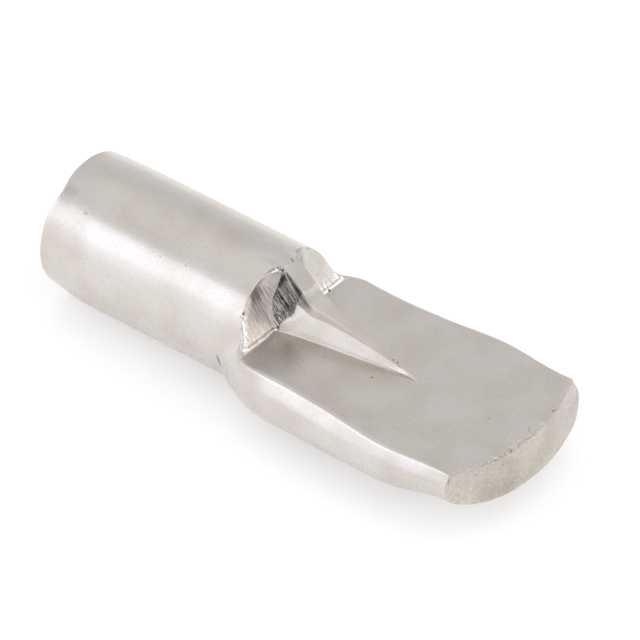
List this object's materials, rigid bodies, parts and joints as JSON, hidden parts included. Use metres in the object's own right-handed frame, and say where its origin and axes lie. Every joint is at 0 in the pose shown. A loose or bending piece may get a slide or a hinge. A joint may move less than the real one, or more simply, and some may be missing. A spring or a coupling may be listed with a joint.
{
  "type": "shelf support pin",
  "caption": "Spoon-type shelf support pin: a round shank for a 5 mm hole and a flattened blade with a stiffening rib, formed from one piece of steel.",
  "frame": {"origin": "on the shank's axis at the shoulder, where the blade begins to flare out of the shank and the pin stops against the cabinet side", "axes": "+X along the shank's axis towards the blade's tip, +Z normal to the blade on the side that has the rib, +Y across the blade"},
  "size_m": [0.0184, 0.0074, 0.005],
  "materials": {
    "nickel_plated_steel": "bright nickel plating over cold-formed steel, with shear marks in the pockets and a rough sheared tip"
  },
  "bodies": {
    "root": {"shelf_pin": "nickel_plated_steel"}
  },
  "joints": []
}
